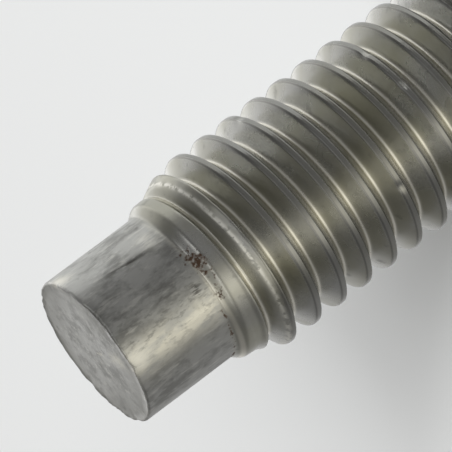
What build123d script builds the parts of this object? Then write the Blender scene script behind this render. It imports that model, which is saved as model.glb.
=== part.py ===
from build123d import *
import math
import os

# A projection weld screw: a round flat head with weld nibs under it, a short plain neck,
# a right-hand metric thread and a plain cylindrical pilot point.
# It stands on the outer face of its head. Origin: centre of that face, +Z towards the point.

# ---- Driving dimensions, mm ----------------------------------------------------------------

# Head
head_d = 22.0
head_t = 3.2
head_edge_r = 0.5          # rounding of both edges of the rim

# Weld nibs, rising from the bearing face of the head
nib_count = 3
nib_d = 3.4                # at the bearing face
nib_h = 1.1
nib_inset = 2.6            # from the rim of the head in to a nib's centre
nib_first_angle = 90.0     # degrees from +X

# Shank, measured from the bearing face
shank_l = 25.0             # to the end of the pilot point
neck_l = 2.5               # left without thread
neck_fillet_r = 0.6        # between the neck and the head

# Thread
thread_d = 9.88            # over the crests
thread_pitch = 1.5
thread_phase = 0.94        # end of the screw down to a crest line, carried on up, at +X
flank_angle = 30.0         # each flank from the plane across the axis
run_out_angle = 45.0       # how the last crest falls to the neck

# Pilot point
pilot_gap = 0.18           # how far its wall lies inside the thread root
pilot_l = 4.8
pilot_edge_r = 0.2         # its end edge
lead_angle = 20.0          # cone from the pilot up to the crests, from the axis

# ---- Sizes that follow from them ------------------------------------------------------------

thread_depth = 0.6134 * thread_pitch
crest_w = thread_pitch / 8
thread_r = thread_d / 2
root_r = thread_r - thread_depth
neck_r = thread_r - 0.3248 * thread_pitch      # the blank is rolled at the pitch diameter
pilot_r = root_r - pilot_gap
head_r = head_d / 2

bearing_z = head_t
thread_end_z = bearing_z + neck_l
tip_z = bearing_z + shank_l
pilot_z = tip_z - pilot_l


def lead_z(radius):
    """Height at which the lead cone has the given radius."""
    return pilot_z - (radius - pilot_r) / math.tan(math.radians(lead_angle))


def run_out_z(radius):
    """Height at which the run-out cone has the given radius."""
    return thread_end_z + (radius - neck_r) * math.tan(math.radians(run_out_angle))


def turned(*outline):
    """Solid of revolution about Z from (radius, height) points that start and end on the axis."""
    face = make_face(Polyline(*[(r, 0, z) for r, z in outline], close=True))
    return revolve(face, Axis.Z)


def ring_edges(solid, radius, height):
    """The round edges of the given radius at the given height."""
    circles = solid.edges().filter_by(GeomType.CIRCLE)
    return [e for e in circles if abs(e.radius - radius) < 1e-3 and abs(e.arc_center.Z - height) < 1e-3]


def make_core():
    """Head, neck, thread core and pilot point, turned as one."""
    core = turned(
        (0, 0),
        (head_r, 0),
        (head_r, bearing_z),
        (neck_r, bearing_z),
        (neck_r, thread_end_z),
        (root_r, thread_end_z + (neck_r - root_r)),
        (root_r, lead_z(root_r)),
        (pilot_r, pilot_z),
        (pilot_r, tip_z),
        (0, tip_z),
    )
    rim = ring_edges(core, head_r, 0) + ring_edges(core, head_r, bearing_z)
    core = fillet(rim, head_edge_r)
    core = fillet(ring_edges(core, neck_r, bearing_z), neck_fillet_r)
    return fillet(ring_edges(core, pilot_r, tip_z), pilot_edge_r)


def make_thread():
    """The helical ridge, one turn after another, trimmed by the lead, the crests and the run-out."""
    bite = 0.1 * thread_depth                  # how far the ridge reaches into the core
    over = 0.05 * thread_depth                 # and past the crests before it is trimmed
    inner_r = root_r - bite
    outer_r = thread_r + over
    slope = math.tan(math.radians(flank_angle))
    inner_w = crest_w + 2 * (thread_r - inner_r) * slope
    outer_w = crest_w - 2 * over * slope

    section = make_face(Polyline(
        (inner_r, 0, -inner_w / 2),
        (outer_r, 0, -outer_w / 2),
        (outer_r, 0, outer_w / 2),
        (inner_r, 0, inner_w / 2),
        close=True,
    ))
    turn = sweep(section, path=Helix(thread_pitch, thread_pitch, inner_r), is_frenet=True)
    envelope = turned(
        (0, thread_end_z),
        (neck_r, thread_end_z),
        (thread_r, run_out_z(thread_r)),
        (thread_r, lead_z(thread_r)),
        (pilot_r, pilot_z),
        (0, pilot_z),
    )
    crest_z = tip_z - thread_phase
    first = math.floor((crest_z - pilot_z) / thread_pitch)
    last = math.ceil((crest_z - thread_end_z) / thread_pitch) + 1
    turns = [Pos(0, 0, crest_z - n * thread_pitch) * turn for n in range(first, last + 1)]
    return [piece & envelope for piece in turns]


def make_nib():
    """One weld nib: a round button cut from a ball, standing on the bearing face."""
    ball_r = ((nib_d / 2) ** 2 + nib_h ** 2) / (2 * nib_h)
    root = 0.2 * head_t                        # how far it reaches down into the head
    ball = Pos(0, 0, nib_h - ball_r) * Sphere(ball_r)
    keep = Pos(0, 0, (nib_h - root) / 2) * Cylinder(nib_d / 2, nib_h + root)
    return ball & keep


def make_screw():
    screw = Rot(0, 0, 180) * make_core()       # its seam lies away from where the turns meet
    for turn in make_thread():
        screw += turn
    for place in PolarLocations(head_r - nib_inset, nib_count, nib_first_angle):
        screw += Pos(0, 0, bearing_z) * place * make_nib()
    return screw


os.makedirs("parts", exist_ok=True)
export_step(make_screw(), "parts/weld_screw.step")
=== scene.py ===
import math

import bmesh
import bpy
from bpy.props import FloatProperty, FloatVectorProperty, IntProperty, PointerProperty
from mathutils import Matrix, Vector, noise


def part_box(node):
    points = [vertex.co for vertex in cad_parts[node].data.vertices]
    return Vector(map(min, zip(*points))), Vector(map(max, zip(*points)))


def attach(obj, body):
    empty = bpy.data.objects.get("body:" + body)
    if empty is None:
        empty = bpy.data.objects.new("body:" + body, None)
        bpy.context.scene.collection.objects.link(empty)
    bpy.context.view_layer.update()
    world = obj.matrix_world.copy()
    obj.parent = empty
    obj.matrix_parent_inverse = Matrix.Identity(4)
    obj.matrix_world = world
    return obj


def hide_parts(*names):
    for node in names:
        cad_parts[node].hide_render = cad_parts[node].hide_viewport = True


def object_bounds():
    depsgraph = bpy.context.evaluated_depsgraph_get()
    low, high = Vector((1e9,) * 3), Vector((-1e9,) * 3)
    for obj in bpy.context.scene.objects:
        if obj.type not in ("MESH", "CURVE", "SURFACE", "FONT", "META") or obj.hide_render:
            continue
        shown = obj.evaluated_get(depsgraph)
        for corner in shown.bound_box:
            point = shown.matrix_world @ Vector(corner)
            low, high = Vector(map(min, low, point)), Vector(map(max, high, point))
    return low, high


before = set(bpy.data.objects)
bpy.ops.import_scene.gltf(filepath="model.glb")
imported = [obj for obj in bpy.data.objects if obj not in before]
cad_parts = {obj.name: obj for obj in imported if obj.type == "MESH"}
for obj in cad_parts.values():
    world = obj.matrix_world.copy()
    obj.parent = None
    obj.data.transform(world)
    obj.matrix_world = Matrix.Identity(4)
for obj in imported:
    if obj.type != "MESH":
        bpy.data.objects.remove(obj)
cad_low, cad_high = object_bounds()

bl_info = {
    "name": "Weld Screw",
    "version": (1, 0, 0),
    "blender": (4, 5, 0),
    "location": "View3D > Sidebar > Weld Screw",
    "description": "Builds a projection weld screw of bare steel with a rolled thread and a pilot point",
    "category": "Object",
}

MM = 0.001
NODE = "weld_screw"
node_low, node_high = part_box(NODE)


# ---- Sizes and colours ----------------------------------------------------------------------

def length(name, description, value):
    return FloatProperty(name=name, description=description, default=value, unit="LENGTH",
                         subtype="DISTANCE", precision=5)


def colour(name, description, value):
    return FloatVectorProperty(name=name, description=description, default=value, size=3,
                               min=0.0, max=1.0, subtype="COLOR")


class ScrewSizes(bpy.types.PropertyGroup):
    """Sizes of the screw."""
    head_radius: length("Head radius", "Axis to the rim of the head", (node_high[0] - node_low[0]) / 2)
    head_height: length("Head height", "Outer face to bearing face", 3.2 * MM)
    head_edge: length("Head edge", "Rounding of the rim's edges", 0.5 * MM)
    nib_radius: length("Nib radius", "Radius of a weld nib at its foot", 1.7 * MM)
    nib_height: length("Nib height", "Rise of a weld nib above the bearing face", 1.1 * MM)
    nib_inset: length("Nib inset", "Rim of the head to a nib's centre", 2.6 * MM)
    nib_count: IntProperty(name="Nibs", description="Number of weld nibs", default=3, min=1)
    neck_radius: length("Neck radius", "Radius of the plain neck", 4.45 * MM)
    neck_length: length("Neck length", "Bearing face to the first thread", 2.5 * MM)
    neck_fillet: length("Neck fillet", "Hollow between head and neck", 0.6 * MM)
    pitch: length("Pitch", "Axial distance between crests", 1.5 * MM)
    crest_radius: length("Crest radius", "Axis to the thread crests", 4.93 * MM)
    root_radius: length("Root radius", "Axis to the thread roots", 4.03 * MM)
    crest_width: length("Crest width", "Flat of a crest before it is rounded", 0.27 * MM)
    crest_phase: length("Crest phase", "Tip down to a crest line, carried on up, at +X", 0.94 * MM)
    point_radius: length("Point radius", "Radius of the pilot point", 3.84 * MM)
    point_length: length("Point length", "Tip to the start of the lead", 4.8 * MM)
    point_edge: length("Point edge", "Rounding of the tip's edge", 0.14 * MM)
    lead_angle: FloatProperty(name="Lead angle", description="Half angle of the lead cone",
                              default=math.radians(20), subtype="ANGLE")
    columns: IntProperty(name="Columns", description="Faces around the axis", default=192, min=24)
    rows: IntProperty(name="Rows", description="Rows of faces in one pitch", default=28, min=8)


class SteelLook(bpy.types.PropertyGroup):
    """Colours of the bare steel."""
    steel: colour("Steel", "Clean rolled steel", (0.53, 0.528, 0.505))
    bright: colour("Bright steel", "Rubbed or cut metal", (0.78, 0.77, 0.72))
    # painted highlight: colour of the glints at the tip's edge, beside the thread and on the second
    # turn's crest
    glint: colour("Glint", "Painted glints at the tip's edge, beside the thread and on the second turn", (0.98, 0.96, 0.88))
    # painted highlight: colour of the bright strip along the point and of the lines in the roots
    painted_sheen: colour("Painted sheen", "Painted highlight along the point and in the roots", (0.85, 0.82, 0.72))
    dark: colour("Dark marks", "Dirt in the scratches", (0.08, 0.075, 0.065))
    # dull steel: scale and handling marks, and also the painted shade on the crest tops
    dull: colour("Dull steel", "Scale and handling marks", (0.23, 0.227, 0.212))
    stain: colour("Stain", "Oil and sulphide tint on the flanks", (0.43, 0.42, 0.345))
    rust: colour("Rust", "Specks of rust where the point meets the thread", (0.10, 0.045, 0.02))


class StageLook(bpy.types.PropertyGroup):
    """Floor, light and camera."""
    floor: colour("Floor", "Colour of the floor", (0.80, 0.81, 0.815))
    backdrop: colour("Backdrop", "Background behind the floor", (0.80, 0.81, 0.815))
    elevation: FloatProperty(name="Elevation", description="Camera above the horizon",
                             default=math.radians(17.0), subtype="ANGLE")
    roll: FloatProperty(name="Roll", description="Turn of the camera about its own axis",
                        default=math.radians(126.91), subtype="ANGLE")
    distance: length("Distance", "Camera to the aim point", 316.7 * MM)
    aim_below_tip: length("Aim below tip", "Tip down to the aim point", 8.54 * MM)
    aim_aside: length("Aim aside", "Axis to the aim point, along X", 1.02 * MM)
    lens: FloatProperty(name="Lens", description="Focal length on a 36 mm sensor, in millimetres",
                        default=557.5)


# ---- Node building --------------------------------------------------------------------------

class Field:
    """A socket that Python's operators work on. Each operator adds one Math node to its tree."""

    def __init__(self, tree, socket):
        self.tree = tree
        self.socket = socket

    def math(self, operation, *others):
        return self.tree.math(operation, self, *others)

    def __add__(self, other):
        return self.math("ADD", other)

    def __radd__(self, other):
        return self.tree.math("ADD", other, self)

    def __sub__(self, other):
        return self.math("SUBTRACT", other)

    def __rsub__(self, other):
        return self.tree.math("SUBTRACT", other, self)

    def __mul__(self, other):
        return self.math("MULTIPLY", other)

    def __rmul__(self, other):
        return self.tree.math("MULTIPLY", other, self)

    def __truediv__(self, other):
        return self.math("DIVIDE", other)

    def __rtruediv__(self, other):
        return self.tree.math("DIVIDE", other, self)

    def __neg__(self):
        return self.math("MULTIPLY", -1.0)

    def __abs__(self):
        return self.math("ABSOLUTE")

    def __pow__(self, other):
        return self.math("POWER", other)


class Tree:
    """A node tree, for geometry or for a shader, with one method that adds any node."""

    def __init__(self, node_tree):
        self.nodes = node_tree.nodes
        self.links = node_tree.links

    def plug(self, socket, value):
        if isinstance(value, Field):
            self.links.new(value.socket, socket)
        elif value is not None:
            socket.default_value = value

    def node(self, kind, settings=None, inputs=None):
        """Adds a node: settings first, then a value or a Field for each named or numbered input."""
        made = self.nodes.new(kind)
        for key, value in (settings or {}).items():
            setattr(made, key, value)
        for key, value in (inputs or {}).items():
            self.plug(made.inputs[key], value)
        return made

    def out(self, made, key=0):
        return Field(self, made.outputs[key])

    def math(self, operation, *values):
        made = self.node("ShaderNodeMath", {"operation": operation}, dict(enumerate(values)))
        return self.out(made)

    def clamp(self, value, low=0.0, high=1.0):
        made = self.node("ShaderNodeClamp", {}, {"Value": value, "Min": low, "Max": high})
        return self.out(made)

    def smooth(self, value, low, high):
        """0 below low, 1 above high, with a soft step between them."""
        made = self.node("ShaderNodeMapRange", {"interpolation_type": "SMOOTHSTEP"},
                         {"Value": value, "From Min": low, "From Max": high})
        return self.out(made)

    def bell(self, value, centre, width):
        """1 at the centre, falling off softly over about the width on each side."""
        return self.math("EXPONENT", -(((value - centre) / width) ** 2))

    def split(self, vector):
        made = self.node("ShaderNodeSeparateXYZ", {}, {0: vector})
        return [self.out(made, k) for k in range(3)]

    def join(self, x, y, z):
        return self.out(self.node("ShaderNodeCombineXYZ", {}, {0: x, 1: y, 2: z}))

    def noise(self, vector, scale, detail=3.0, roughness=0.5, distortion=0.0):
        made = self.node("ShaderNodeTexNoise", {"noise_dimensions": "3D"},
                         {"Vector": vector, "Scale": scale, "Detail": detail,
                          "Roughness": roughness, "Distortion": distortion})
        return self.out(made, 0)

    def blend(self, factor, first, second):
        """Colour between first and second."""
        made = self.node("ShaderNodeMix", {"data_type": "RGBA"}, {"Factor": factor})
        for key, value in (("A_Color", first), ("B_Color", second)):
            socket = next(s for s in made.inputs if s.identifier == key)
            self.plug(socket, value if isinstance(value, Field) else (*value, 1.0))
        return Field(self, next(s for s in made.outputs if s.identifier == "Result_Color"))


# ---- The turned body: head, neck and point --------------------------------------------------

def arc(centre_r, centre_z, radius, start, end, steps):
    """Points of an arc in the (r, z) half plane, angles in degrees from +r."""
    points = []
    for k in range(steps + 1):
        a = math.radians(start + (end - start) * k / steps)
        points.append((centre_r + radius * math.cos(a), centre_z + radius * math.sin(a)))
    return points


def run(start, end, steps):
    """Points from start to end, both left out."""
    return [tuple(a + (b - a) * k / steps for a, b in zip(start, end)) for k in range(1, steps)]


def head_outline(s):
    """From near the centre of the outer face round the rim to the top of the neck."""
    e, f = s.head_edge, s.neck_fillet
    rim_low = arc(s.head_radius - e, e, e, -90, 0, 6)
    rim_high = arc(s.head_radius - e, s.head_height - e, e, 0, 90, 6)
    hollow = arc(s.neck_radius + f, s.head_height + f, f, -90, -180, 7)
    neck_top = (s.neck_radius, s.head_height + s.neck_length * 0.75)
    start = (0.06 * s.head_radius, 0.0)
    return ([start] + run(start, rim_low[0], 10) + rim_low + run(rim_low[-1], rim_high[0], 4)
            + rim_high + run(rim_high[-1], hollow[0], 26) + hollow + run(hollow[-1], neck_top, 5)
            + [neck_top])


def point_outline(s, tip):
    """From the foot of the pilot point up its wall and in over the end face."""
    e = s.point_edge
    foot = (s.point_radius, tip - s.point_length + 0.4 * MM)
    edge = arc(s.point_radius - e, tip - e, e, 0, 90, 5)
    end = (0.08 * s.point_radius, tip)
    return [foot] + run(foot, edge[0], 22) + edge + run(edge[-1], end, 9) + [end]


def lathe(bm, outline, columns, cap_first=False, cap_last=False):
    """Turns an outline about Z. Walking up the outline with the axis on the left faces outwards."""
    rings = []
    for r, z in outline:
        rings.append([bm.verts.new((r * math.cos(2 * math.pi * k / columns),
                                    r * math.sin(2 * math.pi * k / columns), z))
                      for k in range(columns)])
    for low, high in zip(rings, rings[1:]):
        for k in range(columns):
            n = (k + 1) % columns
            bm.faces.new((low[k], low[n], high[n], high[k]))
    for ring, wanted, sign in ((rings[0], cap_first, -1), (rings[-1], cap_last, 1)):
        if wanted:
            centre = bm.verts.new((0.0, 0.0, ring[0].co.z))
            for k in range(columns):
                pair = (ring[k], ring[(k + 1) % columns])
                bm.faces.new((centre, *pair[::sign]))


def raise_nibs(bm, s):
    """Swells round buttons out of the bearing face of the head."""
    ball = (s.nib_radius ** 2 + s.nib_height ** 2) / (2 * s.nib_height)
    circle = s.head_radius - s.nib_inset
    for n in range(s.nib_count):
        a = math.radians(90 + 360 * n / s.nib_count)
        centre = Vector((circle * math.cos(a), circle * math.sin(a)))
        for v in bm.verts:
            d = (v.co.xy - centre).length
            if abs(v.co.z - s.head_height) < 1e-6 and d < s.nib_radius:
                v.co.z += math.sqrt(ball ** 2 - d ** 2) - (ball - s.nib_height)


def batter_point(bm, s, tip):
    """Leaves the sheared end face uneven, its edge chipped and its wall slightly out of round."""
    foot = tip - s.point_length + 0.4 * MM
    for v in bm.verts:
        up = (v.co.z - foot) / (tip - foot)
        if up <= 0.0:
            continue
        out = v.co.xy.length / s.point_radius
        wobble = noise.noise(v.co * 420.0)
        fine = noise.noise(v.co * 2300.0 + Vector((7.0, 0.0, 0.0)))
        near_edge = max(0.0, 1 - abs(v.co.z - tip) / (0.4 * MM)) * max(0.0, (out - 0.88) / 0.12)
        chip = max(0.0, noise.noise(v.co * 900.0 + Vector((0.0, 3.0, 0.0))) - 0.18) * near_edge
        if out > 0.85:
            v.co.xy *= 1 + min(up * 4, 1.0) * (wobble * 0.004 + fine * 0.0012) - chip * 0.04
        v.co.z -= (chip * 0.16 + abs(fine) * near_edge * 0.08) * MM
        if out < 0.97 and v.co.z > tip - 0.1 * MM:
            v.co.z -= (0.02 + 0.03 * abs(wobble) + 0.05 * (1 - out * out)) * MM


def turned_body(s, tip):
    bm = bmesh.new()
    lathe(bm, head_outline(s), s.columns, cap_first=True)
    lathe(bm, point_outline(s, tip), s.columns, cap_last=True)
    raise_nibs(bm, s)
    batter_point(bm, s, tip)
    mesh = bpy.data.meshes.new("turned_body")
    bm.to_mesh(mesh)
    bm.free()
    mesh.shade_smooth()
    return mesh


# ---- The rolled thread, by Geometry Nodes ---------------------------------------------------

THREAD_INPUTS = (
    ("Pitch", "pitch"), ("Crest Radius", "crest_radius"), ("Root Radius", "root_radius"),
    ("Crest Width", "crest_width"), ("Neck Radius", "neck_radius"), ("Point Radius", "point_radius"),
)

LEAD_STEEPER = 1.35                 # slope of the lead's upper part, as a share of the cone's

# Knocks on the crests: angle in degrees from +X, height above the floor, half length along the
# crest, half width across it and depth, all in mm
DENTS = (
    (-85.0, 20.95, 0.30, 0.20, 0.10),
    (-62.0, 20.90, 0.18, 0.16, 0.07),
    (-23.0, 16.70, 0.28, 0.18, 0.09),
    (-45.0, 10.50, 0.25, 0.22, 0.12),
    (-74.5, 10.40, 0.22, 0.16, 0.10),
    (-118.0, 13.30, 0.20, 0.16, 0.07),
    (128.0, 14.60, 0.35, 0.25, 0.10),
    (60.0, 10.70, 0.25, 0.25, 0.08),
)


def thread_tree(material):
    """Node group that adds the rolled shank to the turned body and welds the two together."""
    group = bpy.data.node_groups.new("rolled_thread", "GeometryNodeTree")
    face = group.interface
    face.new_socket("Geometry", in_out="INPUT", socket_type="NodeSocketGeometry")
    for name, _ in THREAD_INPUTS:
        face.new_socket(name, in_out="INPUT", socket_type="NodeSocketFloat")
    for name in ("Low End", "High End", "Thread Low", "Lead Foot", "Crest Height", "Lead Slope"):
        face.new_socket(name, in_out="INPUT", socket_type="NodeSocketFloat")
    for name in ("Columns", "Rows"):
        face.new_socket(name, in_out="INPUT", socket_type="NodeSocketInt")
    face.new_socket("Geometry", in_out="OUTPUT", socket_type="NodeSocketGeometry")

    t = Tree(group)
    given = t.node("NodeGroupInput")
    value = {s.name: Field(t, s) for s in given.outputs if s.name}
    pitch = value["Pitch"]
    low, high = value["Low End"], value["High End"]

    rows = t.math("CEIL", (high - low) / pitch * value["Rows"]) + value["Rows"] + 1
    grid = t.node("GeometryNodeMeshGrid", {}, {
        "Size X": 1.0, "Size Y": 1.0, "Vertices X": value["Columns"] + 1, "Vertices Y": rows})
    place = t.out(t.node("GeometryNodeInputPosition"))
    across, along, _ = t.split(place)
    around = across + 0.5
    row = (along + 0.5) * (rows - 1)
    angle = around * (2 * math.pi)
    even = (low - value["Crest Height"]) / pitch - 1 + row / value["Rows"]
    packed = even - t.math("SINE", even * (4 * math.pi)) * (0.5 / (4 * math.pi))
    height = t.clamp(value["Crest Height"] + (packed + around) * pitch, low, high)

    unit = t.join(t.math("COSINE", angle), t.math("SINE", angle), height / pitch * 0.3)
    wave = t.noise(unit, 1.7, detail=2.0) - 0.5
    fine = t.join(t.math("COSINE", angle), t.math("SINE", angle), height / value["Crest Radius"])
    ripple = t.noise(fine, 16.0, detail=3.0) - 0.5

    # the thread itself, with worn places near its two ends
    helix = (height - value["Crest Height"]) / pitch - around
    off = abs(helix - t.math("ROUND", helix)) * pitch
    steep = 1 / math.tan(math.radians(30))
    tip_zone = t.bell(height, value["Lead Foot"] - 2.2 * MM, 0.7 * MM)
    neck_zone = t.bell(height, value["Thread Low"] + 0.6 * MM, 0.6 * MM)
    rough = tip_zone * (0.035 * MM) + neck_zone * (0.06 * MM) + 0.002 * MM
    crest = value["Crest Radius"] + wave * (0.03 * MM)
    flank = crest + (value["Crest Width"] / 2 - off) * steep
    shallow = (height - (value["Lead Foot"] - 1.8 * MM)) * 0.35
    root = value["Root Radius"] + t.math("MAXIMUM", shallow, 0.0)
    thread = t.math("SMOOTH_MIN", t.math("SMOOTH_MAX", flank, root, 0.15 * MM), crest, 0.10 * MM)
    thread = thread + ripple * rough

    for degrees, dent_z, half_l, half_w, depth in DENTS:
        turn = math.radians(degrees)
        swing = (t.math("COSINE", angle - turn) * -1 + 1) * 2
        reach = swing * (4.94 / half_l) ** 2 + ((height - dent_z * MM) / (half_w * MM)) ** 2
        thread = thread - t.math("EXPONENT", -reach) * (depth * MM)

    # trimmed by the stepped lead and by the run-out
    foot = value["Lead Foot"] - height + wave * (0.10 * MM)
    step = (foot - 0.30 * MM) * 0.80
    ledge = (foot - 0.9 * MM) * 0.06 + 0.38 * MM
    cone = (foot - 1.29 * MM) * value["Lead Slope"] * LEAD_STEEPER + 0.35 * MM
    lead = t.math("SMOOTH_MAX", t.math("SMOOTH_MIN", step, ledge, 0.12 * MM), cone, 0.06 * MM)
    lead = lead + value["Point Radius"] + ripple * rough
    run_out = value["Neck Radius"] + (height - value["Thread Low"]) * 1.1
    body = t.math("SMOOTH_MIN", thread, lead, 0.08 * MM)
    body = t.math("SMOOTH_MIN", body, run_out, 0.12 * MM)
    body = t.math("SMOOTH_MAX", body, value["Point Radius"], 0.08 * MM)
    below = t.math("LESS_THAN", height, value["Thread Low"] + 0.001 * MM)
    radius = below * value["Neck Radius"] + (1 - below) * t.math("MAXIMUM", body, value["Point Radius"])
    spot = t.join(t.math("COSINE", angle) * radius, t.math("SINE", angle) * radius, height)
    rolled = t.node("GeometryNodeSetPosition", {}, {"Geometry": t.out(grid), "Position": spot})

    both = t.node("GeometryNodeJoinGeometry")
    group.links.new(given.outputs["Geometry"], both.inputs[0])
    group.links.new(rolled.outputs[0], both.inputs[0])
    welded = t.node("GeometryNodeMergeByDistance", {}, {"Geometry": t.out(both), "Distance": 2e-6})
    smooth = t.node("GeometryNodeSetShadeSmooth", {}, {"Geometry": t.out(welded), "Shade Smooth": True})
    real = t.node("GeometryNodeRealizeInstances", {}, {"Geometry": t.out(smooth)})
    done = t.node("GeometryNodeSetMaterial", {}, {"Geometry": t.out(real), "Material": material})
    result = t.node("NodeGroupOutput")
    group.links.new(done.outputs[0], result.inputs["Geometry"])
    return group


def set_input(modifier, name, value):
    """Sets a modifier's input by its socket's identifier."""
    for item in modifier.node_group.interface.items_tree:
        if item.item_type == "SOCKET" and item.in_out == "INPUT" and item.name == name:
            modifier[item.identifier] = value
            return
    raise RuntimeError(f"no input called {name}")


def plain_mesh(piece):
    """Turns what the modifiers make into the piece's own mesh."""
    evaluated = piece.evaluated_get(bpy.context.evaluated_depsgraph_get())
    mesh = bpy.data.meshes.new_from_object(evaluated)
    piece.modifiers.clear()
    piece.data = mesh


# ---- Bare steel -----------------------------------------------------------------------------

def bare_steel(s, look, tip):
    material = bpy.data.materials.new("bare_steel")
    material.use_nodes = True
    material.node_tree.nodes.clear()
    t = Tree(material.node_tree)
    place = t.out(t.node("ShaderNodeTexCoord"), "Object")
    x, y, z = t.split(place)
    radius = t.math("SQRT", x * x + y * y)
    angle = t.math("ARCTAN2", y, x)
    helix = (z - (tip - s.crest_phase)) / s.pitch - angle / (2 * math.pi)
    slip = helix - t.math("ROUND", helix)           # pitches above the nearest crest
    off = abs(slip) * 2                             # 0 on a crest, 1 in a root

    lead_foot = tip - s.point_length
    on_point = t.smooth(z, lead_foot - 0.5 * MM, lead_foot + 0.1 * MM)
    on_end = t.smooth(z, tip - 0.07 * MM, tip - 0.02 * MM)
    on_wall = on_point * (1 - on_end)
    on_thread = t.smooth(z, s.head_height + s.neck_length, s.head_height + s.neck_length + 0.3 * MM)
    on_thread = on_thread * (1 - on_point)

    cloud = t.noise(place, 260.0, detail=4.0)
    grain = t.noise(place, 2600.0, detail=3.0, roughness=0.6)
    speck = t.noise(place, 1300.0, detail=4.0, roughness=0.62)
    blot = t.noise(place, 620.0, detail=5.0, roughness=0.7)
    streak = t.noise(t.join(x * 3200, y * 3200, z * 700), 1.0, detail=3.0, roughness=0.65)
    drawn = t.noise(t.join(x * 1100, y * 1100, z * 420), 1.0, detail=4.0, roughness=0.7)
    flow = t.noise(t.join(radius * 9000, helix * 40, 0.0), 1.0, detail=2.0)
    degrees = angle * (180 / math.pi)
    deep = tip - z                                  # from the end face down

    # colour of the thread: olive flanks, grey flecks, painted shade on the crests and painted highlights
    # in the roots
    base = t.blend(t.smooth(cloud, 0.35, 0.68) * on_thread * 0.8, look.steel, look.stain)
    base = t.blend(t.smooth(speck, 0.58, 0.76) * 0.45, base, look.dull)
    # painted shade: the crest tops are darkened towards dull steel
    shaded_crest = t.smooth(radius, s.crest_radius - 0.10 * MM, s.crest_radius - 0.02 * MM)
    base = t.blend(shaded_crest * on_thread * 0.70, base, look.dull)
    # painted highlight: the roots are lightened into pale cream lines
    base = t.blend(t.smooth(off, 0.78, 0.95) * on_thread * 0.85, base, look.painted_sheen)

    # painted highlight along the tip side of the second turn's crest
    crest_glint = t.bell(slip, 0.13, 0.06) * t.bell(deep, 7.0 * MM, 0.7 * MM)
    base = t.blend(crest_glint * t.smooth(grain, 0.38, 0.52), base, look.glint)

    # the sheared point: drawn marks all round and one strip of painted highlight, broken into patches
    painted_sheen = t.bell(degrees, -113.0, 11.0) * on_wall
    patchy = t.smooth(drawn, 0.36, 0.62)
    mottle = t.smooth(drawn + blot * 0.4, 0.62, 0.86) * on_wall * (1 - painted_sheen)
    base = t.blend(mottle * 0.70, base, look.dull)
    base = t.blend(t.smooth(streak, 0.54, 0.70) * on_wall * 0.5, base, look.bright)
    base = t.blend(painted_sheen * patchy * 0.85, base, look.painted_sheen)
    flaky = t.noise(t.join(x * 4200, y * 4200, z * 1500), 1.0, detail=3.0, roughness=0.7)
    flaked = t.smooth(flaky, 0.50, 0.62) * t.bell(degrees, -98.0, 22.0) * on_wall
    base = t.blend(flaked * 0.55, base, look.dull)

    # painted highlights in three places, at the tip's edge and beside the thread
    painted_glints = t.bell(degrees, -111.0, 8.0) * t.bell(deep, 0.5 * MM, 0.6 * MM)
    painted_glints = painted_glints + t.bell(degrees, -24.0, 9.0) * t.bell(deep, 0.25 * MM, 0.5 * MM)
    painted_glints = painted_glints + t.bell(degrees, -48.0, 9.0) * t.bell(deep, 4.3 * MM, 0.5 * MM) * 0.6
    near_wall = t.smooth(radius, s.point_radius * 0.90, s.point_radius * 0.97)
    painted_glints = t.clamp(painted_glints * t.smooth(streak, 0.34, 0.52) * on_point * near_wall)
    base = t.blend(painted_glints, base, look.glint)

    # one slanting scratch and a group of short ticks, both filled with dirt
    scratch = t.bell(degrees + deep * 1500, -49.0, 1.6) * t.bell(deep, 3.0 * MM, 1.1 * MM)
    nick = t.bell(degrees, -97.0, 5.0) * t.bell(deep, 4.45 * MM, 0.25 * MM)
    ticks = nick * t.smooth(t.noise(t.join(x * 9000, y * 9000, z * 900), 1.0), 0.50, 0.56)
    marks = t.clamp(scratch * t.smooth(speck, 0.35, 0.55) + ticks) * on_wall
    base = t.blend(marks * 0.8, base, look.dark)

    # rust where the point meets the thread, thinning out downwards along the corner
    middle = 5.3 * MM
    patch = t.bell(degrees + (deep - middle) * 17000, -84.0, 15.0) * t.bell(deep, middle, 0.65 * MM)
    trail = t.bell(degrees, -106.0, 14.0) * t.bell(deep, 5.25 * MM, 0.30 * MM) * 0.9
    corner = t.smooth(-degrees, 100.0, 125.0) * t.bell(deep, 5.0 * MM, 0.14 * MM) * 0.8
    rusty = t.math("MAXIMUM", t.math("MAXIMUM", patch, trail), corner)
    fleck = t.noise(place, 5200.0, detail=2.0)
    rust = t.smooth(blot * 0.5 + fleck * 0.6 + rusty * 0.34, 0.76, 0.92)
    base = t.blend(rust * 0.9, base, look.rust)

    # finish
    rough = 0.24 + t.smooth(cloud, 0.3, 0.7) * 0.07 + on_wall * 0.10 + on_end * 0.24
    rough = rough + t.smooth(speck, 0.55, 0.75) * 0.10 - shaded_crest * 0.06
    rough = rough + rust * 0.3 + (painted_glints + crest_glint) * 0.15

    relief = grain * 0.10 + speck * 0.20 + flow * on_thread * 0.12
    relief = relief + (streak * 1.1 + drawn * 0.9) * on_wall
    relief = relief + blot * on_end * 0.6 - marks * 0.8 + rust * 0.5
    bump = t.node("ShaderNodeBump", {}, {"Strength": 0.55, "Distance": 0.02 * MM, "Height": relief})

    shader = t.node("ShaderNodeBsdfPrincipled", {}, {
        "Base Color": base, "Metallic": 1.0, "Roughness": rough, "Normal": t.out(bump)})
    t.node("ShaderNodeOutputMaterial", {}, {"Surface": t.out(shader)})
    return material


# ---- Stage ----------------------------------------------------------------------------------

FLOOR_REACH = 0.6                   # from the screw to the edge of the floor, in metres
MIRRORED_LEFT = -0.012              # the part of the floor that the steel mirrors starts here
MIRRORED_FRONT = -0.016
LAMP_PLACE = (0.42, -2.70, 0.95)
LAMP_SIZE = 0.90
LAMP_POWER = 180.0


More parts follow.
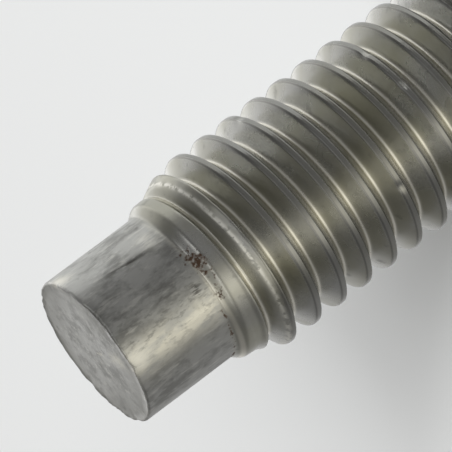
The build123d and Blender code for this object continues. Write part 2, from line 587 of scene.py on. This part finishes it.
def floor_paint(look):
    material = bpy.data.materials.new("floor")
    material.use_nodes = True
    shader = material.node_tree.nodes["Principled BSDF"]
    shader.inputs["Base Color"].default_value = (*look.floor, 1.0)
    shader.inputs["Roughness"].default_value = 0.9
    shader.inputs["Specular IOR Level"].default_value = 0.0
    return material


def make_floor(name, material, left, right, front, back, mirrored):
    """One part of the floor. The steel mirrors only the part that is behind and to the right."""
    bpy.ops.mesh.primitive_plane_add(size=1.0)
    floor = bpy.context.object
    floor.name = name
    for v in floor.data.vertices:
        v.co.x = right if v.co.x > 0 else left
        v.co.y = back if v.co.y > 0 else front
        v.co.z = cad_low[2]
    floor.data.materials.append(material)
    floor.visible_glossy = mirrored
    return floor


def make_world(look):
    world = bpy.data.worlds.new("studio")
    world.use_nodes = True
    world.node_tree.nodes.clear()
    t = Tree(world.node_tree)
    direction = t.out(t.node("ShaderNodeTexCoord"), "Generated")
    x, y, z = t.split(direction)
    # soft panels in a dim room: a wide one at the right, a narrow warm one, one high in front
    # and a faint one behind; the half of the room below the horizon is brighter
    side = t.math("ARCTAN2", -x, math.cos(look.elevation) - y) * (180 / math.pi)
    wide = t.smooth(-side, 36.0, 68.0) * 0.72 + t.smooth(side, 40.0, 60.0) * 0.07
    narrow = t.bell(side, 18.0, 10.0) * 0.50
    low = 1 + (1 - t.smooth(z, -0.1, 0.3)) * 0.75
    overhead = t.bell(z, 0.68, 0.10) * t.smooth(-y, 0.15, 0.6) * 0.8
    level = (wide + 0.14) * low + overhead + t.smooth(y, 0.80, 0.97) * 0.28
    cool = t.join(level, level, level)
    warm = narrow * low
    glow = t.join(warm, warm * 0.97, warm * 0.84)
    room = t.out(t.node("ShaderNodeVectorMath", {"operation": "ADD"}, {0: cool, 1: glow}))
    seen = t.out(t.node("ShaderNodeLightPath"), "Is Camera Ray")
    shown = t.blend(seen, room, look.backdrop)
    light = t.node("ShaderNodeBackground", {}, {"Color": shown, "Strength": 1.0})
    t.node("ShaderNodeOutputWorld", {}, {"Surface": t.out(light)})
    bpy.context.scene.world = world


def make_lamp(tip):
    """A large soft lamp in front. It lights the floor, and the steel doesn't mirror it."""
    place, target = Vector(LAMP_PLACE), Vector((0.0, 0.0, tip / 2))
    lamp = bpy.data.lights.new("front_lamp", "AREA")
    lamp.shape = "DISK"
    lamp.size = LAMP_SIZE
    lamp.energy = LAMP_POWER
    item = bpy.data.objects.new("front_lamp", lamp)
    item.location = place
    item.rotation_euler = (target - place).to_track_quat("-Z", "Y").to_euler()
    item.visible_glossy = False
    bpy.context.collection.objects.link(item)


def make_camera(look, tip):
    """A long lens, rolled so that the screw lies slantwise with its point at the lower left."""
    ahead = Vector((0.0, math.cos(look.elevation), -math.sin(look.elevation)))
    right = Vector((1.0, 0.0, 0.0))
    up = right.cross(ahead)
    aim = Vector((look.aim_aside, 0.0, tip - look.aim_below_tip))
    rolled_right = right * math.cos(look.roll) - up * math.sin(look.roll)
    rolled_up = right * math.sin(look.roll) + up * math.cos(look.roll)
    turn = Matrix((rolled_right, rolled_up, -ahead)).transposed()
    data = bpy.data.cameras.new("camera")
    data.sensor_width = 36.0
    data.lens = look.lens
    data.clip_start = 0.01
    data.clip_end = 10.0
    camera = bpy.data.objects.new("camera", data)
    camera.matrix_world = Matrix.Translation(aim - ahead * look.distance) @ turn.to_4x4()
    bpy.context.collection.objects.link(camera)
    bpy.context.scene.camera = camera


# ---- Operators ------------------------------------------------------------------------------

class WELDSCREW_OT_make_screw(bpy.types.Operator):
    """Builds the screw: the turned body, the rolled thread and the bare steel"""
    bl_idname = "weldscrew.make_screw"
    bl_label = "Make Screw"

    def execute(self, context):
        s = context.scene.weldscrew_sizes
        tip = node_high[2]
        material = bare_steel(s, context.scene.weldscrew_steel, tip)
        screw = bpy.data.objects.new("screw", turned_body(s, tip))
        context.collection.objects.link(screw)
        modifier = screw.modifiers.new("rolled_thread", "NODES")
        modifier.node_group = thread_tree(material)
        for name, key in THREAD_INPUTS:
            set_input(modifier, name, getattr(s, key))
        thread_low = s.head_height + s.neck_length
        for name, value in (
            ("Low End", s.head_height + s.neck_length * 0.75),
            ("High End", tip - s.point_length + 0.4 * MM),
            ("Thread Low", thread_low),
            ("Lead Foot", tip - s.point_length),
            ("Crest Height", tip - s.crest_phase),
            ("Lead Slope", math.tan(s.lead_angle)),
            ("Columns", s.columns),
            ("Rows", s.rows),
        ):
            set_input(modifier, name, value)
        plain_mesh(screw)
        if len(screw.data.polygons) < s.columns * s.rows:
            raise RuntimeError("the rolled thread is missing")
        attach(screw, "root")
        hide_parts(NODE)
        return {"FINISHED"}


class WELDSCREW_OT_make_stage(bpy.types.Operator):
    """Builds the pale floor, the soft light and the camera"""
    bl_idname = "weldscrew.make_stage"
    bl_label = "Make Stage"

    def execute(self, context):
        look = context.scene.weldscrew_stage
        tip = node_high[2]
        paint = floor_paint(look)
        far = FLOOR_REACH
        make_floor("floor", paint, MIRRORED_LEFT, far, MIRRORED_FRONT, far, True)
        make_floor("left_floor", paint, -far, MIRRORED_LEFT, MIRRORED_FRONT, far, False)
        make_floor("near_floor", paint, -far, far, -far, MIRRORED_FRONT, False)
        make_world(look)
        make_lamp(tip)
        make_camera(look, tip)
        context.scene.view_settings.view_transform = "Standard"
        return {"FINISHED"}


class WELDSCREW_PT_panel(bpy.types.Panel):
    """Lists the steps that build the screw and its stage"""
    bl_idname = "WELDSCREW_PT_panel"
    bl_label = "Weld Screw"
    bl_space_type = "VIEW_3D"
    bl_region_type = "UI"
    bl_category = "Weld Screw"

    def draw(self, context):
        for group in ("weldscrew_sizes", "weldscrew_steel", "weldscrew_stage"):
            settings = getattr(context.scene, group)
            box = self.layout.box()
            for key in settings.__annotations__:
                box.prop(settings, key)
        self.layout.operator(WELDSCREW_OT_make_screw.bl_idname)
        self.layout.operator(WELDSCREW_OT_make_stage.bl_idname)


CLASSES = (ScrewSizes, SteelLook, StageLook, WELDSCREW_OT_make_screw, WELDSCREW_OT_make_stage,
           WELDSCREW_PT_panel)


def register():
    for item in CLASSES:
        bpy.utils.register_class(item)
    bpy.types.Scene.weldscrew_sizes = PointerProperty(type=ScrewSizes)
    bpy.types.Scene.weldscrew_steel = PointerProperty(type=SteelLook)
    bpy.types.Scene.weldscrew_stage = PointerProperty(type=StageLook)


def unregister():
    del bpy.types.Scene.weldscrew_stage
    del bpy.types.Scene.weldscrew_steel
    del bpy.types.Scene.weldscrew_sizes
    for item in reversed(CLASSES):
        bpy.utils.unregister_class(item)


def main():
    register()
    bpy.ops.weldscrew.make_screw()
    bpy.ops.weldscrew.make_stage()


if __name__ == "__main__":
    main()
